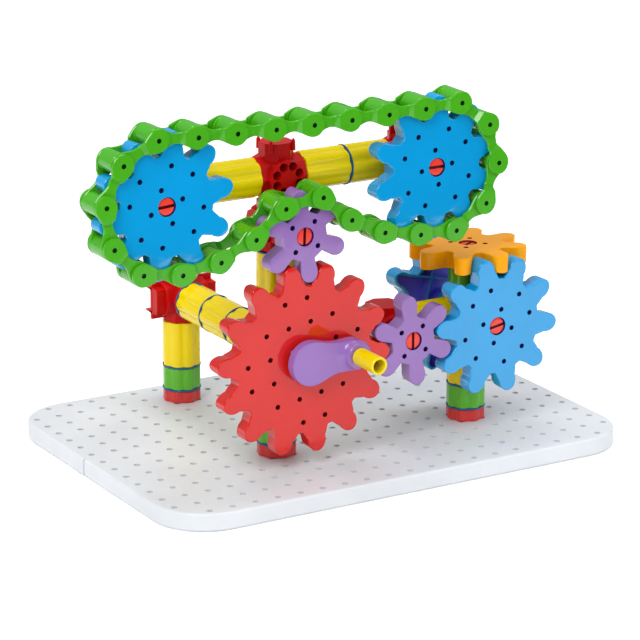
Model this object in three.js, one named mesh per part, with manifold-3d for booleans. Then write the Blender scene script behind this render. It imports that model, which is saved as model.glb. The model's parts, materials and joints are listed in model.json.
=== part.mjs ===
import * as THREE from "three";
import { mergeVertices } from "three/addons/utils/BufferGeometryUtils.js";
import Module from "manifold-3d";

// A hand-cranked gear set: a pegboard base, three fluted columns, connectors and tubes,
// eight cycloidal gears on snap pins, a crank, and a chain round the three top gears.
// Lengths are in millimetres and angles in degrees, +Z is up and -Y is the front.
// The origin is at the centre of the base plate's underside.

// Lattice that every piece stands on
const pitch = 15;
const holeColumnCount = 21;
const holeRowCount = 15;

// Base plate
const baseThickness = 11;
const baseMargin = 8;
const baseCornerRadius = 34;
const baseEdgeRadius = 1.5;
const holeDiameter = 4;
const holeDepth = 7;
const notchWidth = 2.2;
const notchDepth = 1.6;
const notchShift = 10;

// Fluted columns, tubes and connectors
const tubeDiameter = 24;
const fluteDepth = 0.9;
const ringRise = 0.5;
const ringThickness = 1;
const seatGap = 0.3;
const pegClearance = 0.7;
const pegEndGap = 1.5;
const capDiameter = 21;
const capPegRise = 2.2;

// Gears
const gearThickness = 11;
const gearStandoff = 8.2;
const crossingGearStandoff = 3.3;
const toothTipHeight = 6;
const toothPlayWidth = 1.8;
const toothDraftWidth = 0.9;
const webThickness = 3;
const pegHoleFloor = 1;
const rimWall = 3;
const ribThickness = 1.6;
const hubWall = 3.6;

// Snap pins and the sockets that they go into
const pinShaftDiameter = 8;
const pinHeadDiameter = 12;
const pinHeadThickness = 2;
const pinHeadRise = 0.4;
const pinSlotWidth = 2.6;
const pinSlotDepth = 1.4;
const socketDepth = 8;
const runningGap = 0.4;

// Crank
const crankRadius = 28.5;
const crankHubDiameter = 31;
const crankHubLength = 9;
const crankBossDiameter = 17;
const crankBossRise = 3.2;
const crankArmThickness = 5;
const gripDiameter = 13;
const gripLength = 24;
const gripWall = 2.3;
const gripPegReach = 13;

// Chain
const chainTopSag = 6;
const linkPlateThickness = 2;
const linkPlateGap = 0.5;
const linkBulgeDiameter = 14;
const linkWaistHeight = 8;
const linkBarrelDiameter = 10.8;
const linkPinDiameter = 3.8;

// Counts
const fluteCount = 8;
const driveToothCount = 14;
const blueToothCount = 10;
const crossingToothCount = 8;
const pinionToothCount = 6;
const wrapLinkCount = 5;
const topRunLinkCount = 8;
const lowerRunLinkCount = 3;
const linksPerPiece = 2;
const roundSegments = 20;
const headSegments = 8;
const boreSegments = 8;
const squareSegments = 4;
const barrelSegments = 6;
const cornerSteps = 5;
const solverSteps = 60;

// Turns in degrees, seen from each gear's smooth face
const driveTurn = 99.4;
const crankTurn = 4;
const leftTopPivotTurn = 100;
const rightTopPivotTurn = 70;
const pinionPivotTurn = 70;

// Colours
const paleGrey = 0xe1e5e9;
const yellow = 0xebd414;
const green = 0x4fb52d;
const red = 0xde413c;
const deepRed = 0xc8191e;
const purple = 0xa080be;
const blue = 0x00a0e1;
const orange = 0xf2902b;
const pinRed = 0xeb554b;

// Sizes that follow from the driving dimensions
const degree = Math.PI / 180;
const rightAngle = Math.PI / 2;
const fullTurn = Math.PI * 2;
const overrun = pitch;
const tubeRadius = tubeDiameter / 2;
const footHeight = pitch / 2;
const collarHeight = pitch;
const tubeLength = pitch * 2;
const connectorSize = pitch * 2;
const pegDiameter = holeDiameter - pegClearance * 2;
const gearModule = pitch / 2;
const rollingRadius = (pinionToothCount * gearModule) / 4;
const hubDiameter = pinShaftDiameter + (runningGap + hubWall) * 2;
const pegHoleDepth = webThickness - pegHoleFloor;
const gearPlaneOffset = connectorSize / 2 + gearStandoff + gearThickness / 2;

// Places of the columns, axles and beams
const leftColumnX = -pitch * 3.5;
const rightColumnX = pitch * 5.5;
const linkConnectorX = pitch * 1.5;
const leftBeamEndX = -pitch * 9.5;
const rightBeamEndX = pitch * 2.5;
const backColumnY = pitch * 5.5;
const frontColumnY = -pitch * 2.5;
const axleHeight = baseThickness + footHeight + collarHeight + tubeLength + connectorSize / 2;
const upperAxleHeight = axleHeight + connectorSize + collarHeight + tubeLength;
const beamHeight = upperAxleHeight + connectorSize;

const wasm = await Module();
wasm.setup();

// A closed geometry as a solid that can be joined and cut
function solidOf(geometry) {
  const bare = geometry.index ? geometry.toNonIndexed() : geometry.clone();
  bare.deleteAttribute("normal");
  bare.deleteAttribute("uv");
  const merged = mergeVertices(bare);
  const triVerts = new Uint32Array(merged.index.array);
  const vertProperties = merged.attributes.position.array;
  return new wasm.Manifold(new wasm.Mesh({ numProp: 3, vertProperties, triVerts }));
}

function geometryOf(solid) {
  const { vertProperties, triVerts } = solid.getMesh();
  const indexed = new THREE.BufferGeometry();
  indexed.setAttribute("position", new THREE.BufferAttribute(vertProperties, 3));
  indexed.setIndex(new THREE.BufferAttribute(triVerts, 1));
  const geometry = indexed.toNonIndexed();
  geometry.computeVertexNormals();
  return geometry;
}

function joined(geometries) {
  return geometries.map(solidOf).reduce((whole, piece) => whole.add(piece));
}

// One body made of the added geometries, less the cut ones
function shaped(added, cuts) {
  const body = joined(added);
  return geometryOf(cuts.length ? body.subtract(joined(cuts)) : body);
}

function polar(radius, angle) {
  return [radius * Math.cos(angle), radius * Math.sin(angle)];
}

function shapeOf(points) {
  return new THREE.Shape(points.map(([x, y]) => new THREE.Vector2(x, y)));
}

// A prism of the shape that stands from one height to another
function prism(shape, bottom, top) {
  const geometry = new THREE.ExtrudeGeometry(shape, { depth: top - bottom, bevelEnabled: false });
  return geometry.translate(0, 0, bottom);
}

// The surface whose triangles are the corners taken three by three
function closedGeometry(corners) {
  const geometry = new THREE.BufferGeometry();
  geometry.setAttribute("position", new THREE.Float32BufferAttribute(corners.flat(), 3));
  return geometry;
}

function roundBar(radius, segments, bottom, top) {
  const corner = (_, i) => polar(radius, ((i + 0.5) / segments) * fullTurn);
  return prism(shapeOf(Array.from({ length: segments }, corner)), bottom, top);
}

// A cutter whose flat sides clear a bar of the given radius that turns inside it
function roundHole(radius, segments, bottom, top) {
  return roundBar((radius + runningGap) / Math.cos(Math.PI / segments), segments, bottom, top);
}

// The four pegs of one cell of the lattice, round the axis
function squarePegs(bottom, top) {
  const half = pitch / 2;
  const places = [-1, 1].flatMap((x) => [-1, 1].map((y) => [x * half, y * half]));
  return places.map(([x, y]) => roundBar(pegDiameter / 2, squareSegments, bottom, top).translate(x, y, 0));
}

// Base plate

function roundedRectangle(length, width, radius) {
  const outline = new THREE.Shape();
  const x = length / 2 - radius;
  const y = width / 2 - radius;
  outline.absarc(x, y, radius, 0, rightAngle);
  outline.absarc(-x, y, radius, rightAngle, rightAngle * 2);
  outline.absarc(-x, -y, radius, rightAngle * 2, rightAngle * 3);
  outline.absarc(x, -y, radius, rightAngle * 3, fullTurn);
  return shapeOf(outline.getPoints(cornerSteps).map((point) => [point.x, point.y]));
}

// Centres of the pegboard's holes, with none at its four corners
function holeCentres() {
  const centres = [];
  const lastColumn = (holeColumnCount - 1) / 2;
  const lastRow = (holeRowCount - 1) / 2;
  for (let column = -lastColumn; column <= lastColumn; column += 1) {
    for (let row = -lastRow; row <= lastRow; row += 1) {
      const corner = Math.abs(column) === lastColumn && Math.abs(row) === lastRow;
      if (!corner) centres.push([column * pitch, row * pitch]);
    }
  }
  return centres;
}

function basePlateGeometry() {
  const length = (holeColumnCount - 1) * pitch + baseMargin * 2;
  const width = (holeRowCount - 1) * pitch + baseMargin * 2;
  const plate = new THREE.ExtrudeGeometry(roundedRectangle(length, width, baseCornerRadius), {
    depth: baseThickness - baseEdgeRadius * 2,
    bevelThickness: baseEdgeRadius,
    bevelSize: baseEdgeRadius,
    bevelOffset: -baseEdgeRadius,
    bevelSegments: 1,
  }).translate(0, 0, baseEdgeRadius);
  const holeFloor = baseThickness - holeDepth;
  const hole = roundBar(holeDiameter / 2, squareSegments, holeFloor, baseThickness + overrun);
  const holes = holeCentres().map(([x, y]) => hole.clone().translate(x, y, 0));
  const notch = new THREE.BoxGeometry(notchDepth * 2, notchWidth, baseThickness + overrun);
  const notches = [-1, 1].map((side) =>
    notch.clone().translate((side * length) / 2, notchShift, baseThickness / 2),
  );
  return shaped([plate], [...holes, ...notches]);
}

// Columns, tubes and connectors

// Section of a column or tube: broad lobes with a shallow valley between each two
function flutedShape() {
  const corner = (_, i) => polar(tubeRadius - (i % 2) * fluteDepth, (i / fluteCount / 2) * fullTurn);
  return shapeOf(Array.from({ length: fluteCount * 2 }, corner));
}

// A fluted piece about +Z, with a thin ring at each of the ends given as -1 or 1
function flutedGeometry(length, ringEnds) {
  const half = (length - seatGap) / 2;
  const bar = prism(flutedShape(), -half, half);
  const rings = ringEnds.map((end) => {
    const middle = end * (half - ringThickness / 2);
    const [bottom, top] = [middle - ringThickness / 2, middle + ringThickness / 2];
    return roundBar(tubeRadius + ringRise, fluteCount * 2, bottom, top);
  });
  return rings.length ? shaped([bar, ...rings], []) : bar;
}

// A foot with the pegs that plug into the base plate
function footGeometry() {
  const bottom = (seatGap - footHeight) / 2;
  const pegs = squarePegs(bottom - holeDepth + pegEndGap, 0);
  return shaped([flutedGeometry(footHeight, []), ...pegs], []);
}

// Turns a geometry that points along +Z towards the given face of a connector
function facing(geometry, face) {
  if (face === "+x") return geometry.rotateY(rightAngle);
  if (face === "-x") return geometry.rotateY(-rightAngle);
  if (face === "+y") return geometry.rotateX(-rightAngle);
  if (face === "-y") return geometry.rotateX(rightAngle);
  return geometry;
}

// The narrow cap on top, with short pegs round it
function capGeometry() {
  const half = (footHeight - seatGap) / 2;
  const block = roundBar(capDiameter / 2, fluteCount, -half, half - capPegRise);
  return shaped([block, ...squarePegs(-half, half)], []);
}

// A pin socket that opens at the given height
function socketCut(top) {
  return roundHole(pinShaftDiameter / 2, boreSegments, top - socketDepth, top + overrun);
}

// Three crossing stubs, with pegs on the pegged faces and a pin socket in each geared face
function connectorGeometry(peggedFaces, gearedFaces) {
  const half = (connectorSize - seatGap) / 2;
  const corner = (_, i) => polar(tubeRadius, (i / fluteCount) * fullTurn);
  const section = shapeOf(Array.from({ length: fluteCount }, corner));
  const stubs = ["+x", "+y", "+z"].map((face) => facing(prism(section, -half, half), face));
  const pegTop = half + holeDepth - pegEndGap;
  const pegs = peggedFaces.flatMap((face) => squarePegs(0, pegTop).map((peg) => facing(peg, face)));
  const sockets = gearedFaces.map((face) => facing(socketCut(half), face));
  return shaped([...stubs, ...pegs], sockets);
}

// The collar under the crossing gear, with the socket of that gear's pin
function gearCollarGeometry() {
  return shaped([flutedGeometry(collarHeight, [])], [socketCut((collarHeight - seatGap) / 2)]);
}

// Gears

// Radius and angle of the epicycloid that the rolling circle draws above the pitch circle
function outerFlank(pitchRadius, height) {
  const centre = pitchRadius + rollingRadius;
  const radius = pitchRadius + height;
  const cosine = (centre ** 2 + rollingRadius ** 2 - radius ** 2) / (2 * centre * rollingRadius);
  const roll = (Math.acos(cosine) * rollingRadius) / pitchRadius;
  const spin = (roll * centre) / rollingRadius;
  const x = centre * Math.cos(roll) - rollingRadius * Math.cos(spin);
  const y = centre * Math.sin(roll) - rollingRadius * Math.sin(spin);
  return [radius, -Math.atan2(y, x)];
}

// Radius and angle of the hypocycloid that it draws below the pitch circle
function innerFlank(pitchRadius, depth) {
  const centre = pitchRadius - rollingRadius;
  const radius = pitchRadius - depth;
  const cosine = (radius ** 2 - centre ** 2 - rollingRadius ** 2) / (2 * centre * rollingRadius);
  const roll = (Math.acos(cosine) * rollingRadius) / pitchRadius;
  const spin = (roll * centre) / rollingRadius;
  const x = centre * Math.cos(roll) + rollingRadius * Math.cos(spin);
  const y = centre * Math.sin(roll) - rollingRadius * Math.sin(spin);
  return [radius, Math.atan2(y, x)];
}

// A gear's outline, with a tooth on +X and its flanks drawn in by the given length
function toothedPoints(toothCount, drawnIn) {
  const pitchRadius = (toothCount * gearModule) / 2;
  const halfAngle = Math.PI / 2 / toothCount - (toothPlayWidth / 2 + drawnIn) / pitchRadius;
  const flankHeightShares = [0.72];
  const flank = [
    innerFlank(pitchRadius, gearModule),
    [pitchRadius, 0],
    ...flankHeightShares.map((share) => outerFlank(pitchRadius, toothTipHeight * share)),
  ];
  const points = [];
  for (let tooth = 0; tooth < toothCount; tooth += 1) {
    const middle = (tooth / toothCount) * fullTurn;
    for (const [radius, drift] of flank) points.push(polar(radius, middle - halfAngle - drift));
    points.push(polar(pitchRadius + toothTipHeight, middle));
    for (const [radius, drift] of flank.toReversed()) {
      points.push(polar(radius, middle + halfAngle + drift));
    }
  }
  return points;
}

// The gear's body, whose teeth are moulded with draft and so are thinner at the back
function toothedBody(toothCount, bottom, top) {
  const back = toothedPoints(toothCount, toothDraftWidth);
  const face = toothedPoints(toothCount, 0);
  const corners = [];
  const put = (points, height, i) => corners.push([...points[i % points.length], height]);
  face.forEach((_, i) => {
    put(back, bottom, i);
    put(back, bottom, i + 1);
    put(face, top, i + 1);
    put(back, bottom, i);
    put(face, top, i + 1);
    put(face, top, i);
  });
  const outline = back.map(([x, y]) => new THREE.Vector2(x, y));
  for (const [a, b, c] of THREE.ShapeUtils.triangulateShape(outline, [])) {
    for (const i of [a, b, c]) put(face, top, i);
    for (const i of [a, c, b]) put(back, bottom, i);
  }
  return closedGeometry(corners);
}

// The hollow of a gear's back: a round recess that two pairs of straight ribs cross
function backHollow(radius, bottom, top) {
  const rib = new THREE.BoxGeometry(radius * 3, ribThickness, overrun * 4);
  const ribs = [-pitch, pitch].flatMap((place) => [
    rib.clone().translate(0, place, 0),
    rib.clone().translate(0, place, 0).rotateZ(rightAngle),
  ]);
  return solidOf(roundBar(radius, roundSegments, bottom, top)).subtract(joined(ribs));
}

// Centres of the lattice's holes that fit within the radius
function pegHoleCentres(limit) {
  const reach = Math.ceil(limit / pitch);
  const centres = [];
  for (let column = -reach; column < reach; column += 1) {
    for (let row = -reach; row < reach; row += 1) {
      const centre = [(column + 0.5) * pitch, (row + 0.5) * pitch];
      if (Math.hypot(...centre) < limit) centres.push(centre);
    }
  }
  return centres;
}

// A gear about +Z with its smooth face up, z = 0 at half its thickness and its hub reaching down
function gearGeometry(toothCount, standoff) {
  const half = gearThickness / 2;
  const rootRadius = (toothCount * gearModule) / 2 - gearModule;
  const blank = toothedBody(toothCount, -half, half);
  const hollow = backHollow(rootRadius - rimWall, -half - overrun, half - webThickness);
  const hubTop = half - webThickness / 2;
  const hub = roundBar(hubDiameter / 2, boreSegments, seatGap - half - standoff, hubTop);
  const bore = roundHole(pinShaftDiameter / 2, boreSegments, -overrun * 2, overrun);
  const seatFloor = half + pinHeadRise - pinHeadThickness - runningGap;
  const seat = roundHole(pinHeadDiameter / 2, headSegments, seatFloor, half + overrun);
  const hole = roundBar(holeDiameter / 2, squareSegments, half - pegHoleDepth, half + overrun);
  const centres = pegHoleCentres(rootRadius - holeDiameter / 2);
  const holes = centres.map(([x, y]) => hole.clone().translate(x, y, 0));
  const hollowed = solidOf(blank).subtract(hollow).add(solidOf(hub));
  return geometryOf(hollowed.subtract(joined([bore, seat, ...holes])));
}

// A snap pin in the frame of its gear: a slotted head, and a shaft into the socket
function pinGeometry(standoff) {
  const top = gearThickness / 2 + pinHeadRise;
  const shoulder = top - pinHeadThickness;
  const bottom = runningGap - gearThickness / 2 - standoff - socketDepth;
  const profile = [
    [0, bottom],
    [pinShaftDiameter / 2, bottom],
    [pinShaftDiameter / 2, shoulder],
    [pinHeadDiameter / 2, shoulder],
    [pinHeadDiameter / 2, top],
    [0, top],
  ].map(([x, y]) => new THREE.Vector2(x, y));
  const body = new THREE.LatheGeometry(profile, headSegments).rotateX(rightAngle);
  const slot = new THREE.BoxGeometry(pinHeadDiameter * 2, pinSlotWidth, pinSlotDepth * 2);
  return shaped([body], [slot.translate(0, 0, top)]);
}

// Crank

const crankBottom = gearThickness / 2 + seatGap;
const crankTop = crankBottom + crankHubLength;
const bossTop = crankTop + crankBossRise;
const gripBottom = bossTop + runningGap;
const gripPegDiameter = gripDiameter - (gripWall + runningGap) * 2;

// The arm in the frame of the drive gear, reaching towards +X from a keyed hub
function crankArmGeometry(keyTurn) {
  const armBottom = crankTop - crankArmThickness;
  const hub = roundBar(crankHubDiameter / 2, roundSegments, crankBottom, crankTop);
  const boss = roundBar(crankBossDiameter / 2, roundSegments / 2, armBottom, bossTop);
  const peg = roundBar(gripPegDiameter / 2, boreSegments, armBottom, gripBottom + gripPegReach);
  const tangent = Math.acos((crankHubDiameter - crankBossDiameter) / 2 / crankRadius);
  const [hubX, hubY] = polar(crankHubDiameter / 2, tangent);
  const [bossX, bossY] = polar(crankBossDiameter / 2, tangent);
  const web = shapeOf([
    [hubX, -hubY],
    [crankRadius + bossX, -bossY],
    [crankRadius + bossX, bossY],
    [hubX, hubY],
  ]);
  const arm = prism(web, armBottom, crankTop);
  const keys = squarePegs(gearThickness / 2 - pegHoleDepth + seatGap, crankTop - crankArmThickness);
  const recessTop = crankBottom + pinHeadThickness;
  const recess = roundHole(pinHeadDiameter / 2, headSegments, 0, recessTop);
  const ends = [boss, peg].map((piece) => piece.translate(crankRadius, 0, 0));
  return shaped([hub, arm, ...ends, ...keys.map((key) => key.rotateZ(keyTurn))], [recess]);
}

// The loose sleeve that the hand holds, about the crank's peg
function gripGeometry() {
  const sleeve = roundBar(gripDiameter / 2, roundSegments / 2, gripBottom, gripBottom + gripLength);
  const bore = roundHole(gripPegDiameter / 2, boreSegments, 0, gripBottom + gripLength + overrun);
  return shaped([sleeve], [bore]);
}

// Chain

// Turn of a gear that meshes with a turned one, from the direction of the mesh at each axis
function meshedTurn(turn, count, direction, otherCount, otherDirection) {
  const phase = ((direction - turn) / fullTurn) * count;
  return otherDirection - ((0.5 - phase) * fullTurn) / otherCount;
}

// Half the angle that one link takes on a free run, whose links lie as chords of an arc
function chordHalfAngle(span, linkLength, count) {
  let [low, high] = [0, Math.PI / count];
  for (let i = 0; i < solverSteps; i += 1) {
    const middle = (low + high) / 2;
    const reach = (linkLength * Math.sin(middle * count)) / Math.sin(middle);
    if (reach > span) low = middle;
    else high = middle;
  }
  return (low + high) / 2;
}

// Pivots of a free run that hangs between two others, without its two ends
function hangingRun(start, end, linkLength, count) {
  const span = end.clone().sub(start);
  const half = chordHalfAngle(span.length(), linkLength, count);
  const sagSide = Math.sign(span.x);
  const points = [];
  const point = start.clone();
  for (let i = 0; i < count - 1; i += 1) {
    const angle = span.angle() - sagSide * half * (count - 1 - 2 * i);
    point.add(new THREE.Vector2(linkLength * Math.cos(angle), linkLength * Math.sin(angle)));
    points.push(point.clone());
  }
  return points;
}

// Pivots that lie in neighbouring tooth gaps of one gear, anticlockwise from the first
function wrappedPivots(centre, toothCount, linkLength, firstTurn, count) {
  const radius = linkLength / 2 / Math.sin(Math.PI / toothCount);
  return Array.from({ length: count }, (_, i) => {
    const [x, y] = polar(radius, firstTurn + (i / toothCount) * fullTurn);
    return new THREE.Vector2(centre.x + x, centre.y + y);
  });
}

const leftCentre = new THREE.Vector2(leftBeamEndX, beamHeight);
const rightCentre = new THREE.Vector2(rightBeamEndX, beamHeight);
const pinionCentre = new THREE.Vector2(leftColumnX, upperAxleHeight);

function chainWraps(linkLength, pinionFirst) {
  const pivotCount = wrapLinkCount + 1;
  const wrap = (centre, first) => wrappedPivots(centre, blueToothCount, linkLength, first, pivotCount);
  const rightFirst = rightTopPivotTurn * degree - (wrapLinkCount / blueToothCount) * fullTurn;
  return {
    left: wrap(leftCentre, leftTopPivotTurn * degree),
    pinion: wrappedPivots(pinionCentre, pinionToothCount, linkLength, pinionFirst, 2).reverse(),
    right: wrap(rightCentre, rightFirst),
  };
}

// Link length at which the top run hangs by the named sag
function solvedLinkLength() {
  let linkLength = (rightBeamEndX - leftBeamEndX) / topRunLinkCount;
  for (let i = 0; i < solverSteps; i += 1) {
    const { left, right } = chainWraps(linkLength, 0);
    const span = left[0].distanceTo(right[wrapLinkCount]);
    const halfArc = 2 * Math.atan((2 * chainTopSag) / span);
    const arcRadius = span / 2 / Math.sin(halfArc);
    linkLength = 2 * arcRadius * Math.sin(halfArc / topRunLinkCount);
  }
  return linkLength;
}

// All pivots of the closed chain, in order
function chainPivots(linkLength, pinionFirst) {
  const { left, pinion, right } = chainWraps(linkLength, pinionFirst);
  const run = (from, to, count) => hangingRun(from, to, linkLength, count);
  return [
    ...left,
    ...run(left[wrapLinkCount], pinion[0], lowerRunLinkCount),
    ...pinion,
    ...run(pinion[1], right[0], lowerRunLinkCount),
    ...right,
    ...run(right[wrapLinkCount], left[0], topRunLinkCount),
  ];
}

// A bar of rectangular stations along +X, each with its x, its half height and its two sides
function stationBar(stations) {
  const rings = stations.map(([x, half, low, high]) => [
    [x, -half, low],
    [x, half, low],
    [x, half, high],
    [x, -half, high],
  ]);
  const corners = [];
  const quad = (a, b, c, d) => corners.push(a, b, c, a, c, d);
  for (let i = 1; i < rings.length; i += 1) {
    const [near, far] = [rings[i - 1], rings[i]];
    near.forEach((_, k) => quad(near[k], near[(k + 1) % 4], far[(k + 1) % 4], far[k]));
  }
  quad(...rings[0].toReversed());
  quad(...rings.at(-1));
  return closedGeometry(corners);
}

const plateInside = gearThickness / 2 + linkPlateGap;
const forkInside = plateInside + linkPlateThickness + linkPlateGap;

// One side plate of a link, which steps outwards between its barrel and its fork
function linkPlate(linkLength, side) {
  const bulge = linkBulgeDiameter / 2;
  const waist = linkWaistHeight / 2;
  const sides = (inside) =>
    side > 0 ? [inside, inside + linkPlateThickness] : [-inside - linkPlateThickness, -inside];
  const narrow = sides(plateInside);
  const wide = sides(forkInside);
  const [tip, tipHalf] = polar(bulge, rightAngle / 3);
  const stepStart = bulge + linkPlateGap;
  return stationBar([
    [-tip, tipHalf, ...narrow],
    [0, bulge, ...narrow],
    [stepStart, waist, ...narrow],
    [linkLength - stepStart, waist, ...wide],
    [linkLength, bulge, ...wide],
    [linkLength + tip, tipHalf, ...wide],
  ]);
}

// A cranked link from its barrel at the origin to the pin of its fork
function linkGeometries(linkLength) {
  const barrelHalf = plateInside + linkPlateThickness / 2;
  const pinHalf = forkInside + linkPlateThickness / 2;
  const barrel = roundBar(linkBarrelDiameter / 2, barrelSegments, -barrelHalf, barrelHalf);
  const pin = roundBar(linkPinDiameter / 2, squareSegments, -pinHalf, pinHalf);
  return [linkPlate(linkLength, 1), linkPlate(linkLength, -1), barrel, pin.translate(linkLength, 0, 0)];
}

// Neighbouring links with their forks towards the first pivot, bored where the last one pivots
function chainPieceGeometry(pivots, linkLength) {
  const set = (geometry, i) => {
    const angle = pivots[i - 1].clone().sub(pivots[i]).angle();
    const { x, y } = pivots[i].clone().sub(pivots[0]);
    return geometry.rotateZ(angle).translate(x, y, 0);
  };
  const last = pivots.length - 1;
  const links = pivots.slice(1).flatMap((_, i) => linkGeometries(linkLength).map((bar) => set(bar, i + 1)));
  const bore = roundHole(linkPinDiameter / 2, squareSegments, -forkInside, forkInside);
  return shaped(links, [set(bore, last)]);
}

// Assembly

const toy = new THREE.Group();

function addPiece(parent, name, geometry, colour, place, turn = 0) {
  const material = new THREE.MeshStandardMaterial({ color: colour, roughness: 0.3, metalness: 0 });
  const mesh = new THREE.Mesh(geometry, material);
  mesh.name = name;
  mesh.position.set(...place);
  mesh.rotation.z = turn;
  parent.add(mesh);
}

// Stacks [name, height, colour, geometry] pieces upwards and returns the height of the top
function stack(x, y, start, pieces) {
  let bottom = start;
  for (const [name, height, colour, geometry] of pieces) {
    addPiece(toy, name, geometry, colour, [x, y, bottom + height / 2]);
    bottom += height;
  }
  return bottom;
}

function lowerColumn(side, x, y, connector) {
  return stack(x, y, baseThickness, [
    [side + "_foot", footHeight, red, footGeometry()],
    [side + "_collar", collarHeight, green, flutedGeometry(collarHeight, [-1])],
    [side + "_post", tubeLength, yellow, flutedGeometry(tubeLength, [-1])],
    [side + "_connector", connectorSize, deepRed, connector],
  ]);
}

addPiece(toy, "base_plate", basePlateGeometry(), paleGrey, [0, 0, 0]);
lowerColumn("left", leftColumnX, backColumnY, connectorGeometry(["+z", "-x", "+x"], []));
const middleTop = lowerColumn("middle", leftColumnX, frontColumnY, connectorGeometry([], ["-y"]));
const rightTop = lowerColumn("right", rightColumnX, frontColumnY, connectorGeometry(["+x"], ["-y", "+y"]));
stack(leftColumnX, frontColumnY, middleTop, [
  ["middle_upper_collar", collarHeight, green, flutedGeometry(collarHeight, [-1])],
  ["middle_upper_post", tubeLength, yellow, flutedGeometry(tubeLength, [1])],
  ["upper_connector", connectorSize, deepRed, connectorGeometry([], ["-y"])],
  ["top_connector", connectorSize, deepRed, connectorGeometry([], [])],
  ["end_cap", footHeight, deepRed, capGeometry()],
]);
stack(rightColumnX, frontColumnY, rightTop, [
  ["gear_collar", collarHeight, green, gearCollarGeometry()],
]);

// Pieces that lie along X or Y at a height, centred on the place given
function addAcross(name, axis, geometry, colour, place) {
  addPiece(toy, name, facing(geometry, axis), colour, place);
}

const armTubeNames = ["arm_tube_back", "arm_tube_middle", "arm_tube_front"];
armTubeNames.forEach((name, i) => {
  const y = backColumnY - connectorSize / 2 - tubeLength * (i + 0.5);
  const ringEnds = i === armTubeNames.length - 1 ? [-1, 1] : [1];
  addAcross(name, "+y", flutedGeometry(tubeLength, ringEnds), yellow, [leftColumnX, y, axleHeight]);
});

const longTubeLength = tubeLength * 2;
const beamStart = leftColumnX + connectorSize / 2;
const beamPlaces = [
  ["beam_tube_left", longTubeLength, [], (leftBeamEndX + leftColumnX) / 2],
  ["beam_tube_inner_right", tubeLength, [], beamStart + tubeLength / 2],
  ["beam_tube_outer_right", tubeLength, [-1], beamStart + tubeLength * 1.5],
];
for (const [name, length, ringEnds, x] of beamPlaces) {
  addAcross(name, "+x", flutedGeometry(length, ringEnds), yellow, [x, frontColumnY, beamHeight]);
}
const linkTubeX = (linkConnectorX + rightColumnX) / 2;
addAcross("link_tube", "+x", flutedGeometry(tubeLength, []), yellow, [linkTubeX, frontColumnY, axleHeight]);

const endConnectors = [
  ["link_connector", linkConnectorX, axleHeight, ["+z"]],
  ["left_beam_connector", leftBeamEndX, beamHeight, ["-x", "+z"]],
  ["right_beam_connector", rightBeamEndX, beamHeight, ["+x", "+z"]],
];
for (const [name, x, z, peggedFaces] of endConnectors) {
  addPiece(toy, name, connectorGeometry(peggedFaces, ["-y"]), deepRed, [x, frontColumnY, z]);
}

// Turns of the gears, each worked out from the gear that it meshes with
const up = rightAngle;
const drive = driveTurn * degree;
const topPinion = meshedTurn(drive, driveToothCount, up, pinionToothCount, -up);
const lowerPinion = meshedTurn(drive, driveToothCount, 0, pinionToothCount, up * 2);
const transfer = meshedTurn(lowerPinion, pinionToothCount, 0, blueToothCount, up * 2);
const crossing = meshedTurn(transfer, blueToothCount, up, crossingToothCount, -up);
const rear = meshedTurn(crossing, crossingToothCount, up, blueToothCount, -up);
const halfBlueStep = fullTurn / blueToothCount / 2;
const leftSprocket = leftTopPivotTurn * degree - halfBlueStep;
const rightSprocket = rightTopPivotTurn * degree - halfBlueStep;

// The gear planes: local +Z faces forwards in the front plane and backwards in the rear one
const frontPlane = new THREE.Group();
frontPlane.rotation.x = rightAngle;
frontPlane.position.y = frontColumnY - gearPlaneOffset;
const rearPlane = new THREE.Group();
rearPlane.rotation.x = -rightAngle;
rearPlane.position.y = frontColumnY + gearPlaneOffset;
const crossingPlane = new THREE.Group();
crossingPlane.position.z = rightTop + collarHeight + crossingGearStandoff + gearThickness / 2;
toy.add(frontPlane, rearPlane, crossingPlane);

// Turns of the pins' slots that don't lie along X
const slotTurns = { top_pinion: rightAngle, lower_pinion: rightAngle };

function addGear(plane, name, toothCount, turn, colour, x, y, standoff) {
  addPiece(plane, name, gearGeometry(toothCount, standoff), colour, [x, y, 0], turn);
  addPiece(plane, name + "_pin", pinGeometry(standoff), pinRed, [x, y, 0], slotTurns[name]);
}

const frontGears = [
  ["drive_gear", driveToothCount, drive, red, leftColumnX, axleHeight],
  ["top_pinion", pinionToothCount, topPinion, purple, leftColumnX, upperAxleHeight],
  ["lower_pinion", pinionToothCount, lowerPinion, purple, linkConnectorX, axleHeight],
  ["transfer_gear", blueToothCount, transfer, blue, rightColumnX, axleHeight],
  ["left_sprocket", blueToothCount, leftSprocket, blue, leftBeamEndX, beamHeight],
  ["right_sprocket", blueToothCount, rightSprocket, blue, rightBeamEndX, beamHeight],
];
for (const gear of frontGears) addGear(frontPlane, ...gear, gearStandoff);
addGear(rearPlane, "rear_gear", blueToothCount, rear, blue, rightColumnX, -axleHeight, gearStandoff);
addGear(
  crossingPlane,
  "crossing_gear",
  crossingToothCount,
  crossing,
  orange,
  rightColumnX,
  frontColumnY,
  crossingGearStandoff,
);

const crank = new THREE.Group();
crank.position.set(leftColumnX, axleHeight, 0);
crank.rotation.z = crankTurn * degree;
frontPlane.add(crank);
addPiece(crank, "crank_arm", crankArmGeometry((driveTurn - crankTurn) * degree), purple, [0, 0, 0]);
addPiece(crank, "crank_grip", gripGeometry(), yellow, [crankRadius, 0, 0]);

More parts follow.
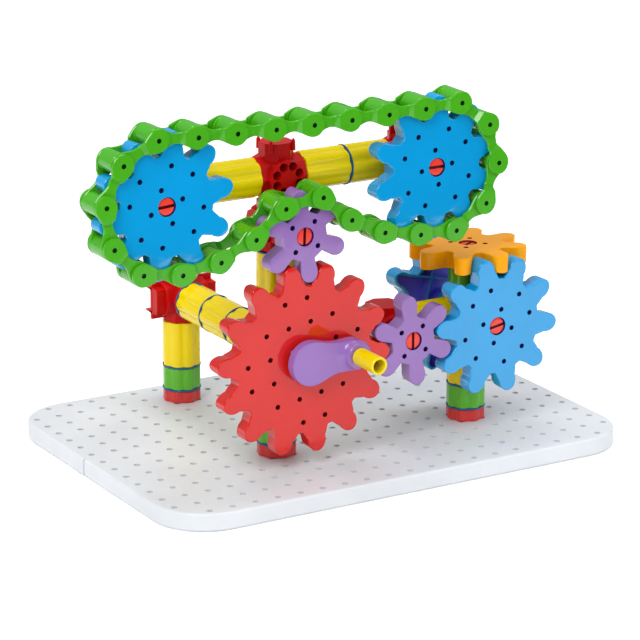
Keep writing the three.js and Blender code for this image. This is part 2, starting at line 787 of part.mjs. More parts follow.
// The chain, whose links share a piece two by two
const pinionStep = fullTurn / pinionToothCount;
const pinionGaps = Array.from({ length: pinionToothCount }, (_, i) => topPinion + (i + 0.5) * pinionStep);
const offset = (turn) => Math.cos(turn - pinionPivotTurn * degree);
const pinionFirst = pinionGaps.reduce((best, turn) => (offset(turn) > offset(best) ? turn : best));
const linkLength = solvedLinkLength();
const pivots = chainPivots(linkLength, pinionFirst);
for (let first = 0; first < pivots.length; first += linksPerPiece) {
  const last = Math.min(first + linksPerPiece, pivots.length);
  const piece = [...pivots.slice(first, last), pivots[last % pivots.length]];
  const number = String(first / linksPerPiece + 1).padStart(2, "0");
  const place = [pivots[first].x, pivots[first].y, 0];
  addPiece(frontPlane, "chain_links_" + number, chainPieceGeometry(piece, linkLength), green, place);
}

export default toy;
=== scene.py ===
import cmath
import json
import math

import bmesh
import bpy
from mathutils import Matrix, Vector


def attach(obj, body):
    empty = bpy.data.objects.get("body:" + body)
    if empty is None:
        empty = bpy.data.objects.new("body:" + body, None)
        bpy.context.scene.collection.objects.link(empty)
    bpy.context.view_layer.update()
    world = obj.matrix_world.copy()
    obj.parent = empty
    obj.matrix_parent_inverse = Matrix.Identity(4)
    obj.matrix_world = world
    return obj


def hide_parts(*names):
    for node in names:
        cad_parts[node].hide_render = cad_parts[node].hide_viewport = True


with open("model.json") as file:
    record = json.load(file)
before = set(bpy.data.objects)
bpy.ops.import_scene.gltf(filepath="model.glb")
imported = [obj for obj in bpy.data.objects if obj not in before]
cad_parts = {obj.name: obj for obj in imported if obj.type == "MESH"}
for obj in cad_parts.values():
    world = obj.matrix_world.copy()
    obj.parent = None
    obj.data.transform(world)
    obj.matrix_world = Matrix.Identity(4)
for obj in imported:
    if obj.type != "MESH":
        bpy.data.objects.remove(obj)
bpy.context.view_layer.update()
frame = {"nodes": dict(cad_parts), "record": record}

# The moulded looks of a hand-cranked gear set. Sizes are in millimetres until a piece is placed.
MM = 0.001
TURN = math.tau
RIGHT = math.pi / 2

# Lattice and places of the axles, as in the part's source
PITCH = 15
BASE_THICKNESS = 11
LEFT_X = -3.5 * PITCH
RIGHT_X = 5.5 * PITCH
LINK_X = 1.5 * PITCH
BEAM_LEFT_X = -9.5 * PITCH
BEAM_RIGHT_X = 2.5 * PITCH
BACK_Y = 5.5 * PITCH
FRONT_Y = -2.5 * PITCH
AXLE_Z = BASE_THICKNESS + 4.5 * PITCH
UPPER_Z = AXLE_Z + 5 * PITCH
BEAM_Z = UPPER_Z + 2 * PITCH
CROSSING_Z = 117.3
FRONT_GEARS_Y = -66.2
REAR_GEAR_Y = -8.8

# Camera, fitted to the base's hole grid
CAMERA_AZIMUTH = math.radians(-30.5806545)
CAMERA_ELEVATION = math.radians(17.0327548)
CAMERA_ROLL = math.radians(0.0999244)
CAMERA_DISTANCE = 2174.96334
CAMERA_TARGET = Vector((108.133676, 183.230985, BASE_THICKNESS))
PICTURE_PIXELS = 640
FOCAL_PIXELS = 3188.48516
SENSOR_WIDTH = 36
CLIP_START = 0.01
CLIP_END = 20


def add_camera():
    data = bpy.data.cameras.new("camera")
    data.sensor_width = SENSOR_WIDTH
    data.lens = SENSOR_WIDTH * FOCAL_PIXELS / PICTURE_PIXELS
    data.clip_start = CLIP_START
    data.clip_end = CLIP_END
    camera = bpy.data.objects.new("camera", data)
    bpy.context.scene.collection.objects.link(camera)
    azimuth, elevation = CAMERA_AZIMUTH, CAMERA_ELEVATION
    back = Vector((
        math.sin(azimuth) * math.cos(elevation),
        -math.cos(azimuth) * math.cos(elevation),
        math.sin(elevation),
    ))
    level = Vector((math.cos(azimuth), math.sin(azimuth), 0))
    up = back.cross(level)
    right = level * math.cos(CAMERA_ROLL) + up * math.sin(CAMERA_ROLL)
    above = up * math.cos(CAMERA_ROLL) - level * math.sin(CAMERA_ROLL)
    place = (CAMERA_TARGET + back * CAMERA_DISTANCE) * MM
    axes = Matrix((right, above, back)).transposed().to_4x4()
    camera.matrix_world = Matrix.Translation(place) @ axes
    bpy.context.scene.camera = camera


add_camera()

# Finishes, whose noises lie over the place on a piece in metres

CLOUD_SCALE = 22
CLOUD_DETAIL = 3
CLOUD_START = 0.3
CLOUD_END = 0.7
CLOUD_DARKER = 0.95
CLOUD_LIGHTER = 1.04
WEAR_SCALE = 60
WEAR_DETAIL = 4
WEAR_SMOOTHER = 0.8
WEAR_ROUGHER = 1.3
GRAIN_SCALE = 260
GRAIN_DETAIL = 1
GRAIN_STRENGTH = 0.05
GRAIN_DEPTH = 0.0004


def linear(channel):
    share = channel / 255
    return share / 12.92 if share <= 0.04045 else ((share + 0.055) / 1.055) ** 2.4


def noise(tree, place, scale, detail):
    made = tree.nodes.new("ShaderNodeTexNoise")
    made.inputs["Scale"].default_value = scale
    made.inputs["Detail"].default_value = detail
    tree.links.new(place.outputs["Object"], made.inputs["Vector"])
    return made.outputs["Fac"]


def glossy_plastic(name, colour, roughness=0.16, gloss=0.62):
    """Moulded plastic: a faint cloudiness in the colour, soft wear in the gloss, a fine orange-peel skin"""
    material = bpy.data.materials.new(name)
    material.use_nodes = True
    tree = material.node_tree
    nodes, links = tree.nodes, tree.links
    shader = nodes["Principled BSDF"]
    shader.inputs["Specular IOR Level"].default_value = gloss
    place = nodes.new("ShaderNodeTexCoord")

    parts = [linear(channel) for channel in colour]
    shade = nodes.new("ShaderNodeValToRGB")
    darker, lighter = shade.color_ramp.elements
    darker.position = CLOUD_START
    darker.color = [part * CLOUD_DARKER for part in parts] + [1]
    lighter.position = CLOUD_END
    lighter.color = [min(1, part * CLOUD_LIGHTER) for part in parts] + [1]
    links.new(noise(tree, place, CLOUD_SCALE, CLOUD_DETAIL), shade.inputs["Fac"])
    links.new(shade.outputs["Color"], shader.inputs["Base Color"])

    dulled = nodes.new("ShaderNodeMapRange")
    dulled.inputs["To Min"].default_value = roughness * WEAR_SMOOTHER
    dulled.inputs["To Max"].default_value = roughness * WEAR_ROUGHER
    links.new(noise(tree, place, WEAR_SCALE, WEAR_DETAIL), dulled.inputs["Value"])
    links.new(dulled.outputs["Result"], shader.inputs["Roughness"])

    bump = nodes.new("ShaderNodeBump")
    bump.inputs["Strength"].default_value = GRAIN_STRENGTH
    bump.inputs["Distance"].default_value = GRAIN_DEPTH
    links.new(noise(tree, place, GRAIN_SCALE, GRAIN_DETAIL), bump.inputs["Height"])
    links.new(bump.outputs["Normal"], shader.inputs["Normal"])
    return material


FINISHES = {
    "base_grey": glossy_plastic("base_plastic", (222, 226, 231), roughness=0.3, gloss=0.3),
    "foot_red": glossy_plastic("foot_plastic", (216, 48, 42)),
    "collar_green": glossy_plastic("collar_plastic", (92, 184, 30)),
    "tube_yellow": glossy_plastic("tube_plastic", (250, 222, 0), gloss=0.4),
    "connector_red": glossy_plastic("connector_plastic", (198, 12, 14), roughness=0.3, gloss=0.15),
    "gear_red": glossy_plastic("drive_gear_plastic", (214, 30, 24), roughness=0.07),
    "gear_purple": glossy_plastic("pinion_plastic", (150, 112, 182), roughness=0.07),
    "gear_blue": glossy_plastic("blue_gear_plastic", (0, 156, 222), roughness=0.05, gloss=1),
    "gear_orange": glossy_plastic("crossing_gear_plastic", (255, 168, 0), gloss=0.2),
    "pin_red": glossy_plastic("pin_plastic", (236, 62, 50)),
    "crank_purple": glossy_plastic("crank_plastic", (150, 110, 186)),
    "grip_yellow": glossy_plastic("grip_plastic", (240, 218, 0)),
    "chain_green": glossy_plastic("chain_plastic", (70, 172, 22)),
}
RING_FINISH = glossy_plastic("ring_plastic", (0, 92, 160))
# Holes, seats and slots, where little light gets in
SHADED = {
    "gear_red": glossy_plastic("drive_gear_recess", (110, 8, 10)),
    "gear_purple": glossy_plastic("pinion_recess", (52, 26, 110)),
    "gear_blue": glossy_plastic("blue_gear_recess", (30, 50, 118)),
    "gear_orange": glossy_plastic("crossing_gear_recess", (150, 60, 0)),
    "pin_red": glossy_plastic("pin_recess", (110, 8, 22)),
    "chain_green": glossy_plastic("chain_recess", (4, 60, 14)),
}
# Painted shade of the hollow backs, a navy unlike the painted shade in the holes of their gears
SHADED_HOLLOW = {"gear_blue": glossy_plastic("blue_gear_hollow_shade", (92, 98, 236))}

for row in frame["record"]["subparts"]:
    node = frame["nodes"][row["node"]]
    node.data.materials.clear()
    node.data.materials.append(FINISHES[row["material_slot"]])

# Ways of shaping

EDGE_STEPS = 3
SMALL_SEGMENTS = 12
BAR_SEGMENTS = 24
ROUND_SEGMENTS = 32
FINE_SEGMENTS = 48
SMOOTH_ANGLE = math.radians(40)
MERGE_DISTANCE = 0.001
# How far a shape passes the face that it cuts or joins
OVERRUN = 1


def mesh_object(bm, name, finish=None):
    """A plain object made of the shaped mesh, which is used up"""
    bmesh.ops.remove_doubles(bm, verts=bm.verts, dist=MERGE_DISTANCE)
    bmesh.ops.recalc_face_normals(bm, faces=bm.faces)
    mesh = bpy.data.meshes.new(name)
    bm.to_mesh(mesh)
    bm.free()
    if finish:
        mesh.materials.append(finish)
    obj = bpy.data.objects.new(name, mesh)
    bpy.context.scene.collection.objects.link(obj)
    return obj


def settle(obj):
    """Makes the modifiers of the object part of its mesh"""
    graph = bpy.context.evaluated_depsgraph_get()
    mesh = bpy.data.meshes.new_from_object(obj.evaluated_get(graph))
    old = obj.data
    obj.modifiers.clear()
    obj.data = mesh
    bpy.data.meshes.remove(old)


def carved(obj, tools, operation="DIFFERENCE"):
    """The object after the tools are cut from it, or joined to it, one after another"""
    for tool in tools:
        modifier = obj.modifiers.new("carve", "BOOLEAN")
        modifier.operation = operation
        modifier.solver = "EXACT"
        modifier.material_mode = "TRANSFER"
        modifier.object = tool
    settle(obj)
    for tool in tools:
        mesh = tool.data
        bpy.data.objects.remove(tool)
        bpy.data.meshes.remove(mesh)
    return obj


def shape_of(obj):
    """The shape of an object that is no longer needed"""
    mesh = obj.data
    bm = bmesh.new()
    bm.from_mesh(mesh)
    bpy.data.objects.remove(obj)
    bpy.data.meshes.remove(mesh)
    return bm


def placed(obj, matrix, body, slot, *nodes):
    """Puts a finished piece in the frame, in metres, as what shows of the CAD nodes on their body"""
    obj.data.transform(Matrix.Scale(MM, 4) @ matrix)
    obj.data.shade_smooth()
    obj.data.set_sharp_from_angle(angle=SMOOTH_ANGLE)
    weighted = obj.modifiers.new("even_shading", "WEIGHTED_NORMAL")
    weighted.keep_sharp = True
    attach(obj, body)
    if nodes:
        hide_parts(*nodes)


def loop_of(bm, points):
    verts = [bm.verts.new(point) for point in points]
    return [bm.edges.new(pair) for pair in zip(verts, verts[1:] + verts[:1])]


def risen(bm, edges, rise, grow=1.0):
    """The loop that the edges become when they are drawn up and scaled about the Z axis"""
    drawn = bmesh.ops.extrude_edge_only(bm, edges=edges)["geom"]
    verts = [part for part in drawn if isinstance(part, bmesh.types.BMVert)]
    bmesh.ops.scale(bm, verts=verts, vec=(grow, grow, 1))
    bmesh.ops.translate(bm, verts=verts, vec=(0, 0, rise))
    return [part for part in drawn if isinstance(part, bmesh.types.BMEdge)]


def filled(bm, edges):
    bmesh.ops.triangle_fill(bm, use_beauty=True, edges=edges)


def rounded_bar(bm, edges, radius, length, edge):
    """Draws a loop of the given mean radius up into a bar with rounded rims, closed at both ends"""
    first = edges
    grow = [math.sin(RIGHT * step / EDGE_STEPS) for step in range(EDGE_STEPS + 1)]
    rise = [1 - math.cos(RIGHT * step / EDGE_STEPS) for step in range(EDGE_STEPS + 1)]
    width = [radius - edge + edge * share for share in grow]
    verts = list({vert for side in edges for vert in side.verts})
    bmesh.ops.scale(bm, verts=verts, vec=(width[0] / radius, width[0] / radius, 1))
    for step in range(EDGE_STEPS):
        edges = risen(bm, edges, edge * (rise[step + 1] - rise[step]), width[step + 1] / width[step])
    edges = risen(bm, edges, length - 2 * edge)
    for step in reversed(range(EDGE_STEPS)):
        edges = risen(bm, edges, edge * (rise[step + 1] - rise[step]), width[step] / width[step + 1])
    filled(bm, first)
    filled(bm, edges)


def bar(radius, bottom, top, segments=BAR_SEGMENTS, edge=0.0):
    bm = bmesh.new()
    if edge:
        circle = bmesh.ops.create_circle(bm, segments=segments, radius=radius)["verts"]
        bmesh.ops.translate(bm, verts=circle, vec=(0, 0, bottom))
        rounded_bar(bm, list(bm.edges), radius, top - bottom, edge)
    else:
        made = bmesh.ops.create_cone(
            bm, cap_ends=True, segments=segments, radius1=radius, radius2=radius, depth=top - bottom
        )
        bmesh.ops.translate(bm, verts=made["verts"], vec=(0, 0, (top + bottom) / 2))
    return bm


def block(bm, size, place):
    """Adds a box of the given size centred on the place"""
    made = bmesh.ops.create_cube(bm, size=1)["verts"]
    bmesh.ops.scale(bm, verts=made, vec=size)
    bmesh.ops.translate(bm, verts=made, vec=place)
    return bm


def turned_shape(bm, matrix):
    bmesh.ops.transform(bm, matrix=matrix, verts=bm.verts)
    return bm


def bevelled(bm, edges, width):
    bmesh.ops.bevel(
        bm, geom=edges, offset=width, segments=EDGE_STEPS, profile=0.5, affect="EDGES", material=-1
    )


def copied(bm, source, matrices):
    """Adds a copy of the source mesh at each matrix"""
    mesh = bpy.data.meshes.new("copy")
    source.to_mesh(mesh)
    source.free()
    for matrix in matrices:
        before = set(bm.verts)
        bm.from_mesh(mesh)
        added = [vert for vert in bm.verts if vert not in before]
        bmesh.ops.transform(bm, matrix=matrix, verts=added)
    bpy.data.meshes.remove(mesh)
    return bm


def spun(profile, steps=ROUND_SEGMENTS):
    """A closed turned body from the [radius, height] profile"""
    bm = bmesh.new()
    verts = [bm.verts.new((radius, 0, height)) for radius, height in profile]
    edges = [bm.edges.new(pair) for pair in zip(verts, verts[1:])]
    bmesh.ops.spin(
        bm, geom=verts + edges, cent=(0, 0, 0), axis=(0, 0, 1), angle=TURN, steps=steps, use_merge=True
    )
    return bm


def polar(radius, angle, height=0.0):
    return Vector((radius * math.cos(angle), radius * math.sin(angle), height))


def cell_corners():
    """Moves to the four corners of the lattice cell about the origin"""
    half = PITCH / 2
    return [Matrix.Translation((x, y, 0)) for x in (-half, half) for y in (-half, half)]


FACES = {
    "+x": Matrix.Rotation(RIGHT, 4, "Y"),
    "-x": Matrix.Rotation(-RIGHT, 4, "Y"),
    "+y": Matrix.Rotation(-RIGHT, 4, "X"),
    "-y": Matrix.Rotation(RIGHT, 4, "X"),
    "+z": Matrix.Identity(4),
    "-z": Matrix.Rotation(math.pi, 4, "X"),
}

# Base plate

HOLE_COLUMNS = 21
HOLE_ROWS = 15
HOLE_RADIUS = 2
HOLE_DEPTH = 7
HOLE_SEGMENTS = 12
BASE_MARGIN = 8
BASE_HALF_LENGTH = (HOLE_COLUMNS - 1) * PITCH / 2 + BASE_MARGIN
BASE_HALF_WIDTH = (HOLE_ROWS - 1) * PITCH / 2 + BASE_MARGIN
BASE_CORNER = 34
BASE_EDGE = 1.5
CORNER_STEPS = 12
NOTCH_WIDTH = 2.2
NOTCH_DEPTH = 1.6
NOTCH_SHIFT = 10


def base_outline(bm, inset, height):
    """One rounded rectangle of edges, drawn in from the plate's outline"""
    x = BASE_HALF_LENGTH - BASE_CORNER
    y = BASE_HALF_WIDTH - BASE_CORNER
    points = []
    for corner, (side_x, side_y) in enumerate([(1, 1), (-1, 1), (-1, -1), (1, -1)]):
        for step in range(CORNER_STEPS + 1):
            arm = polar(BASE_CORNER - inset, RIGHT * (corner + step / CORNER_STEPS), height)
            points.append(arm + Vector((side_x * x, side_y * y, 0)))
    return loop_of(bm, points)


def base_plate():
    bm = bmesh.new()
    arcs = [RIGHT * step / EDGE_STEPS for step in range(EDGE_STEPS + 1)]
    insets = [(BASE_EDGE * (1 - math.sin(arc)), BASE_EDGE * (1 - math.cos(arc))) for arc in arcs]
    rims = [base_outline(bm, inset, rise) for inset, rise in insets]
    rims += [base_outline(bm, inset, BASE_THICKNESS - rise) for inset, rise in reversed(insets)]
    for lower, upper in zip(rims, rims[1:]):
        bmesh.ops.bridge_loops(bm, edges=lower + upper)
    filled(bm, rims[0])

    top = list(rims[-1])
    mouths = []
    angles = [step * TURN / HOLE_SEGMENTS for step in range(HOLE_SEGMENTS)]
    for column in range(HOLE_COLUMNS):
        for row in range(HOLE_ROWS):
            if column in (0, HOLE_COLUMNS - 1) and row in (0, HOLE_ROWS - 1):
                continue
            x = (column - (HOLE_COLUMNS - 1) / 2) * PITCH
            y = (row - (HOLE_ROWS - 1) / 2) * PITCH
            centre = Vector((x, y, BASE_THICKNESS))
            mouths.append(loop_of(bm, [centre + polar(HOLE_RADIUS, angle) for angle in angles]))
            top += mouths[-1]
    filled(bm, top)
    for mouth in mouths:
        floor = risen(bm, mouth, -HOLE_DEPTH)
        bmesh.ops.contextual_create(bm, geom=floor)
    plate = mesh_object(bm, "base_moulding", FINISHES["base_grey"])

    notches = []
    size = (2 * NOTCH_DEPTH, NOTCH_WIDTH, 2 * BASE_THICKNESS)
    for end in (-BASE_HALF_LENGTH, BASE_HALF_LENGTH):
        place = (end, NOTCH_SHIFT, BASE_THICKNESS / 2)
        notches.append(mesh_object(block(bmesh.new(), size, place), "notch"))
    return carved(plate, notches)


placed(base_plate(), Matrix.Identity(4), "frame", "base_grey", "base_plate")

# Columns, tubes and their joint rings

TUBE_RADIUS = 12
SEAT_GAP = 0.3
LOBES = 8
LOBE_RADIUS = 5.2
LOBE_STEPS = 8
TUBE_EDGE = 0.5
RING_RADIUS = 12.15
RING_THICKNESS = 0.9
RING_EDGE = 0.2


def flute_radius(angle):
    """Distance from the axis to the lobed skin of a tube, whose lobes are arcs that meet in soft valleys"""
    step = TURN / LOBES
    off = (angle + step / 2) % step - step / 2
    centre = TUBE_RADIUS - LOBE_RADIUS
    return centre * math.cos(off) + math.sqrt(LOBE_RADIUS ** 2 - (centre * math.sin(off)) ** 2)


def fluted_piece(name, slot, length, axis, place, ring_ends):
    """A fluted tube along the axis through its centre, cut back where it carries a joint ring"""
    half = (length - SEAT_GAP) / 2
    bottom = -half + (RING_THICKNESS if -1 in ring_ends else 0)
    top = half - (RING_THICKNESS if 1 in ring_ends else 0)
    count = LOBES * LOBE_STEPS
    angles = [(step + 0.5) * TURN / count for step in range(count)]
    bm = bmesh.new()
    skin = loop_of(bm, [polar(flute_radius(angle), angle, bottom) for angle in angles])
    rounded_bar(bm, skin, TUBE_RADIUS, top - bottom, TUBE_EDGE)
    matrix = Matrix.Translation(place) @ FACES[axis]
    tube = mesh_object(bm, name + "_moulding", FINISHES[slot])
    placed(tube, matrix, "frame", slot, name)
    for end in ring_ends:
        low = half - RING_THICKNESS if end > 0 else -half
        ring = bar(RING_RADIUS, low, low + RING_THICKNESS, FINE_SEGMENTS, RING_EDGE)
        side = "_upper_ring" if end > 0 else "_lower_ring"
        placed(mesh_object(ring, name + side, RING_FINISH), matrix, "frame", "gear_blue")


FOOT_HEIGHT = 7.5
COLLAR_HEIGHT = 15
POST_LENGTH = 30
LONG_TUBE = 60
UPPER_COLLAR_Z = AXLE_Z + PITCH + COLLAR_HEIGHT / 2
UPPER_POST_Z = AXLE_Z + PITCH + COLLAR_HEIGHT + POST_LENGTH / 2
ARM_START_Y = BACK_Y - PITCH
BEAM_START_X = LEFT_X + PITCH


def column(side, x, y):
    rows = [
        ("foot", "foot_red", FOOT_HEIGHT, []),
        ("collar", "collar_green", COLLAR_HEIGHT, [-1]),
        ("post", "tube_yellow", POST_LENGTH, [-1]),
    ]
    bottom = BASE_THICKNESS
    for kind, slot, height, rings in rows:
        fluted_piece(side + "_" + kind, slot, height, "+z", (x, y, bottom + height / 2), rings)
        bottom += height


column("left", LEFT_X, BACK_Y)
column("middle", LEFT_X, FRONT_Y)
column("right", RIGHT_X, FRONT_Y)
for name, slot, height, x, z, rings in [
    ("middle_upper_collar", "collar_green", COLLAR_HEIGHT, LEFT_X, UPPER_COLLAR_Z, [-1]),
    ("middle_upper_post", "tube_yellow", POST_LENGTH, LEFT_X, UPPER_POST_Z, [1]),
    ("gear_collar", "collar_green", COLLAR_HEIGHT, RIGHT_X, UPPER_COLLAR_Z, []),
]:
    fluted_piece(name, slot, height, "+z", (x, FRONT_Y, z), rings)
for name, count, rings in [
    ("arm_tube_back", 0.5, [1]),
    ("arm_tube_middle", 1.5, [1]),
    ("arm_tube_front", 2.5, [-1, 1]),
]:
    place = (LEFT_X, ARM_START_Y - POST_LENGTH * count, AXLE_Z)
    fluted_piece(name, "tube_yellow", POST_LENGTH, "+y", place, rings)
for name, length, x, z, rings in [
    ("beam_tube_left", LONG_TUBE, (BEAM_LEFT_X + LEFT_X) / 2, BEAM_Z, []),
    ("beam_tube_inner_right", POST_LENGTH, BEAM_START_X + POST_LENGTH / 2, BEAM_Z, []),
    ("beam_tube_outer_right", POST_LENGTH, BEAM_START_X + POST_LENGTH * 1.5, BEAM_Z, [-1]),
    ("link_tube", POST_LENGTH, (LINK_X + RIGHT_X) / 2, AXLE_Z, []),
]:
    fluted_piece(name, "tube_yellow", length, "+x", (x, FRONT_Y, z), rings)

# Connectors

STUB_REACH = 14.85
STUB_RADIUS = 11.6
STUB_EDGE = 0.6
PIN_SHAFT = 4
PIN_PLAY = 0.4
SOCKET_DEPTH = 8
FIN_REACH = 21
FIN_THICKNESS = 2
CROSS_FIN_TIP = 0.4
FIN_CORE_WIDTH = 14
FIN_CORE_SHORTER = 0.4
FACE_HOLES = 8
FACE_HOLE_RADIUS = 2.7
FACE_HOLE_CIRCLE = 8
FACE_HOLE_SEGMENTS = 20
CAP_RADIUS = 10.4
CAP_EDGE = 0.3
CAP_OVERLAP = 1.2
CAP_PEG_RISE = 2.2
CAP_PEG_RADIUS = 1.3
CAP_PEG_NECK = 1.2
CAP_PEG_POINT = 1.6
CAP_PEG_TIP = 0.3
HALF_LOBE = Matrix.Rotation(TURN / LOBES / 2, 4, "Z")


def plug_fins():
    """The plug of a face that points up: a broad fin, a core at its back and two pointed cross fins"""
    fins = bmesh.new()
    rise = FIN_REACH - STUB_REACH + PITCH / 2
    middle = FIN_REACH - rise / 2
    block(fins, (2 * TUBE_RADIUS, FIN_THICKNESS, rise), (0, 0, middle))
    block(fins, (FIN_CORE_WIDTH, PITCH / 2, rise - FIN_CORE_SHORTER), (0, -PITCH / 4, middle))
    for x in (-PITCH / 2, PITCH / 2):
        outline = [(FIN_THICKNESS / 2, 0), (CROSS_FIN_TIP, PITCH / 2), (-CROSS_FIN_TIP, PITCH / 2)]
        outline += [(-along, -across) for along, across in outline]
        foot = loop_of(fins, [(x + along, across, middle - rise / 2) for along, across in outline])
        top = risen(fins, foot, rise)
        filled(fins, foot)
        filled(fins, top)
    return fins


def pin_socket(face):
    socket = bar(PIN_SHAFT + PIN_PLAY, STUB_REACH - SOCKET_DEPTH, STUB_REACH + PITCH)
    return mesh_object(turned_shape(socket, FACES[face]), "socket")


def hole_ring(face):
    angles = [(step + 0.5) * TURN / FACE_HOLES for step in range(FACE_HOLES)]
    places = [Matrix.Translation(polar(FACE_HOLE_CIRCLE, angle)) for angle in angles]
    hole = bar(FACE_HOLE_RADIUS, STUB_REACH - SOCKET_DEPTH, STUB_REACH + OVERRUN, FACE_HOLE_SEGMENTS)
    return mesh_object(turned_shape(copied(bmesh.new(), hole, places), FACES[face]), "ports")


def connector(name, place, finned=(), geared=(), ported=(), upright_radius=TUBE_RADIUS):
    """Three crossing eight-sided stubs, with plug fins, pin sockets or a ring of holes in some faces"""
    stubs = []
    for face in ("+z", "+x", "+y"):
        radius = upright_radius if face == "+z" else STUB_RADIUS
        stub = bar(radius, -STUB_REACH, STUB_REACH, LOBES, STUB_EDGE)
        if radius < STUB_RADIUS:
            turned_shape(stub, HALF_LOBE)
        stubs.append(mesh_object(turned_shape(stub, FACES[face]), "stub", FINISHES["connector_red"]))
    body = carved(stubs[0], stubs[1:], "UNION")
    carved(body, [pin_socket(face) for face in geared] + [hole_ring(face) for face in ported])
    # The fins stay shells of their own, since they cross one another
    whole = shape_of(body)
    for face in finned:
        copied(whole, plug_fins(), [FACES[face]])
    moulding = mesh_object(whole, name + "_moulding", FINISHES["connector_red"])
    placed(moulding, Matrix.Translation(place), "frame", "connector_red", name)


connector("left_connector", (LEFT_X, BACK_Y, AXLE_Z), finned=("+z", "-x", "+x"))
connector("middle_connector", (LEFT_X, FRONT_Y, AXLE_Z), geared=("-y",))
connector("right_connector", (RIGHT_X, FRONT_Y, AXLE_Z), finned=("+x",), geared=("-y", "+y"))
connector("upper_connector", (LEFT_X, FRONT_Y, UPPER_Z), geared=("-y",))
connector("top_connector", (LEFT_X, FRONT_Y, BEAM_Z), ported=("-y",), upright_radius=CAP_RADIUS)
connector("link_connector", (LINK_X, FRONT_Y, AXLE_Z), geared=("-y",))
connector("left_beam_connector", (BEAM_LEFT_X, FRONT_Y, BEAM_Z), finned=("-x", "+z"), geared=("-y",))
connector("right_beam_connector", (BEAM_RIGHT_X, FRONT_Y, BEAM_Z), finned=("+x", "+z"), geared=("-y",))


def end_cap():
    """The narrow eight-sided cap, with four short pegs round it"""
    half = (FOOT_HEIGHT - SEAT_GAP) / 2
    core = bar(CAP_RADIUS, -half - CAP_OVERLAP, half - CAP_PEG_RISE, LOBES, CAP_EDGE)
    cap = mesh_object(core, "end_cap_moulding", FINISHES["connector_red"])
    cap.data.transform(HALF_LOBE)
    profile = [(0, -half), (CAP_PEG_RADIUS, -half), (CAP_PEG_NECK, half - CAP_PEG_POINT)]
    profile += [(CAP_PEG_TIP, half), (0, half)]
    pegs = copied(bmesh.new(), spun(profile, SMALL_SEGMENTS), cell_corners())
    carved(cap, [mesh_object(pegs, "pegs", FINISHES["connector_red"])], "UNION")
    place = Matrix.Translation((LEFT_X, FRONT_Y, BEAM_Z + PITCH + FOOT_HEIGHT / 2))
    placed(cap, place, "frame", "connector_red", "end_cap")


end_cap()

# Gears, whose teeth are cycloids below the pitch circle and ovals above it

MODULE = PITCH / 2
ROLLING_RADIUS = 6 * MODULE / 4
DRIVE_TEETH = 14
PINION_TEETH = 6
BLUE_TEETH = 10
CROSSING_TEETH = 8
TOOTH_TIP = 6
TOOTH_BACKLASH = 0.7
TOOTH_DRAFT = 0.9
TOOTH_WALL = 1.5
OVAL_DROP = 2.4
OVAL_POINT = 1.1
OVAL_TURNS = (0.16, 0.3, 0.44, 0.58, 0.7, 0.8, 0.9)
ROOT_DEPTHS = (0.93, 0.7, 0.45)
ROOT_SPREAD = 2.3
PINION_ROOT_SPREAD = 1.6
ROOT_FILLET = 0.4
GEAR_HALF = 5.5
GEAR_EDGE = 0.7
WEB = 3
RIB = 1.2
HUB_RADIUS = 8
PEG_HOLE_RADIUS = 1.6
PEG_HOLE_DEPTH = 2.6
PEG_HOLE_SEGMENTS = 16
# Past both faces of any gear
THROUGH = 2 * PITCH


def inner_flank(pitch_radius, depth):
    """Radius at a depth below the pitch circle, and how far the cycloid has turned there"""
    centre, radius = pitch_radius - ROLLING_RADIUS, pitch_radius - depth
    cosine = (radius ** 2 - centre ** 2 - ROLLING_RADIUS ** 2) / (2 * centre * ROLLING_RADIUS)
    roll = math.acos(cosine) * ROLLING_RADIUS / pitch_radius
    turned = roll * centre / ROLLING_RADIUS
    x = centre * math.cos(roll) + ROLLING_RADIUS * math.cos(turned)
    y = centre * math.sin(roll) - ROLLING_RADIUS * math.sin(turned)
    return radius, math.atan2(y, x)


def toothed_outline(teeth, draft, height):
    """Points round a gear, whose teeth the draft makes narrower"""
    pitch_radius = teeth * MODULE / 2
    half_tooth = RIGHT / teeth - (TOOTH_BACKLASH / 2 + draft) / pitch_radius
    spread = (PINION_ROOT_SPREAD if teeth == PINION_TEETH else ROOT_SPREAD) / pitch_radius
    root = half_tooth + spread + inner_flank(pitch_radius, MODULE)[1]
    flank = [(pitch_radius - MODULE, root + ROOT_FILLET / pitch_radius)]
    for share in ROOT_DEPTHS:
        radius, drift = inner_flank(pitch_radius, MODULE * share)
        flank.append((radius, half_tooth + drift + spread * share))
    start = pitch_radius - OVAL_DROP
    width = half_tooth + spread * OVAL_DROP / MODULE
    flank.append((start, width))
    for turned in OVAL_TURNS:
        arc = RIGHT * turned
        rise = (TOOTH_TIP + OVAL_DROP) * math.sin(arc)
        flank.append((start + rise, width * math.cos(arc) ** OVAL_POINT))
    points = []
    for tooth in range(teeth):
        middle = tooth * TURN / teeth
        points += [polar(radius, middle - off, height) for radius, off in flank]
        points.append(polar(pitch_radius + TOOTH_TIP, middle, height))
        points += [polar(radius, middle + off, height) for radius, off in reversed(flank)]
    return points


def lattice_moves(limit):
    """Moves to the lattice places between the axes that lie within the limit from the middle"""
    reach = math.ceil(limit / PITCH)
    rows = [(step + 0.5) * PITCH for step in range(-reach, reach)]
    return [Matrix.Translation((x, y, 0)) for x in rows for y in rows if math.hypot(x, y) < limit]


def walled(points, wall):
    """The outline moved inwards all round by the thickness of the wall"""
    moved = []
    for before, point, after in zip(points[-1:] + points[:-1], points, points[1:] + points[:1]):
        along = (after - before).normalized()
        moved.append(point - Vector((along.y, -along.x, 0)) * wall)
    return moved


